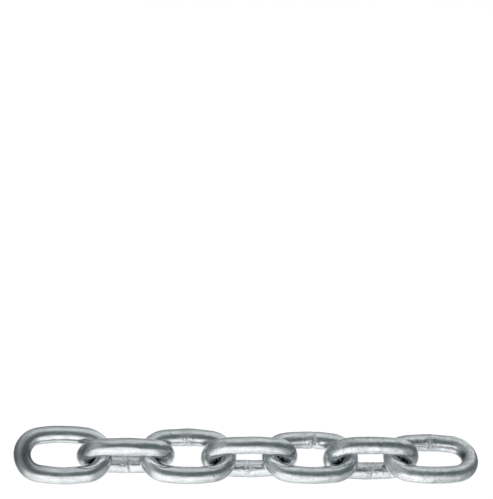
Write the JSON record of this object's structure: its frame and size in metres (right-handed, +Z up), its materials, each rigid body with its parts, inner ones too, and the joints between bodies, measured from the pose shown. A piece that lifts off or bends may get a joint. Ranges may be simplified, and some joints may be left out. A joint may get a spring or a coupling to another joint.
{
  "type": "length of steel chain",
  "caption": "Straight length of welded steel chain: oval links of round galvanised bar hooked through each other, for hanging, lashing, hoisting light loads or closing off.",
  "frame": {"origin": "on the floor, below the middle of the middle link", "axes": "+X along the chain from link_1 to link_7, +Y from its front to its back, +Z up"},
  "size_m": [0.1888, 0.0205, 0.0217],
  "materials": {
    "galvanised_steel": "bright zinc coat, slightly grainy, in places mottled and scratched"
  },
  "bodies": {
    "link_1": {"link_1": "galvanised_steel"},
    "link_2": {"link_2": "galvanised_steel"},
    "link_3": {"link_3": "galvanised_steel"},
    "link_4": {"link_4": "galvanised_steel"},
    "link_5": {"link_5": "galvanised_steel"},
    "link_6": {"link_6": "galvanised_steel"},
    "link_7": {"link_7": "galvanised_steel"}
  },
  "joints": [
    {"name": "link_2_swing", "type": "hinge", "parent": "link_1", "child": "link_2", "pos_m": [-0.0585, 0, 0.01081], "axis": [0, 0.6157, 0.788], "range_deg": [-110, 110]},
    {"name": "link_3_swing", "type": "hinge", "parent": "link_2", "child": "link_3", "pos_m": [-0.0336, 0, 0.01081], "axis": [0, 0.766, -0.6428], "range_deg": [-110, 110]},
    {"name": "link_4_swing", "type": "hinge", "parent": "link_3", "child": "link_4", "pos_m": [-0.0087, 0, 0.01081], "axis": [0, -0.7314, -0.682], "range_deg": [-110, 110]},
    {"name": "link_5_swing", "type": "hinge", "parent": "link_4", "child": "link_5", "pos_m": [0.0162, 0, 0.01081], "axis": [0, -0.682, 0.7314], "range_deg": [-110, 110]},
    {"name": "link_6_swing", "type": "hinge", "parent": "link_5", "child": "link_6", "pos_m": [0.0411, 0, 0.01081], "axis": [0, 0.7771, 0.6293], "range_deg": [-110, 110]},
    {"name": "link_7_swing", "type": "hinge", "parent": "link_6", "child": "link_7", "pos_m": [0.066, 0, 0.01081], "axis": [0, 0.6018, -0.7986], "range_deg": [-110, 110]}
  ]
}
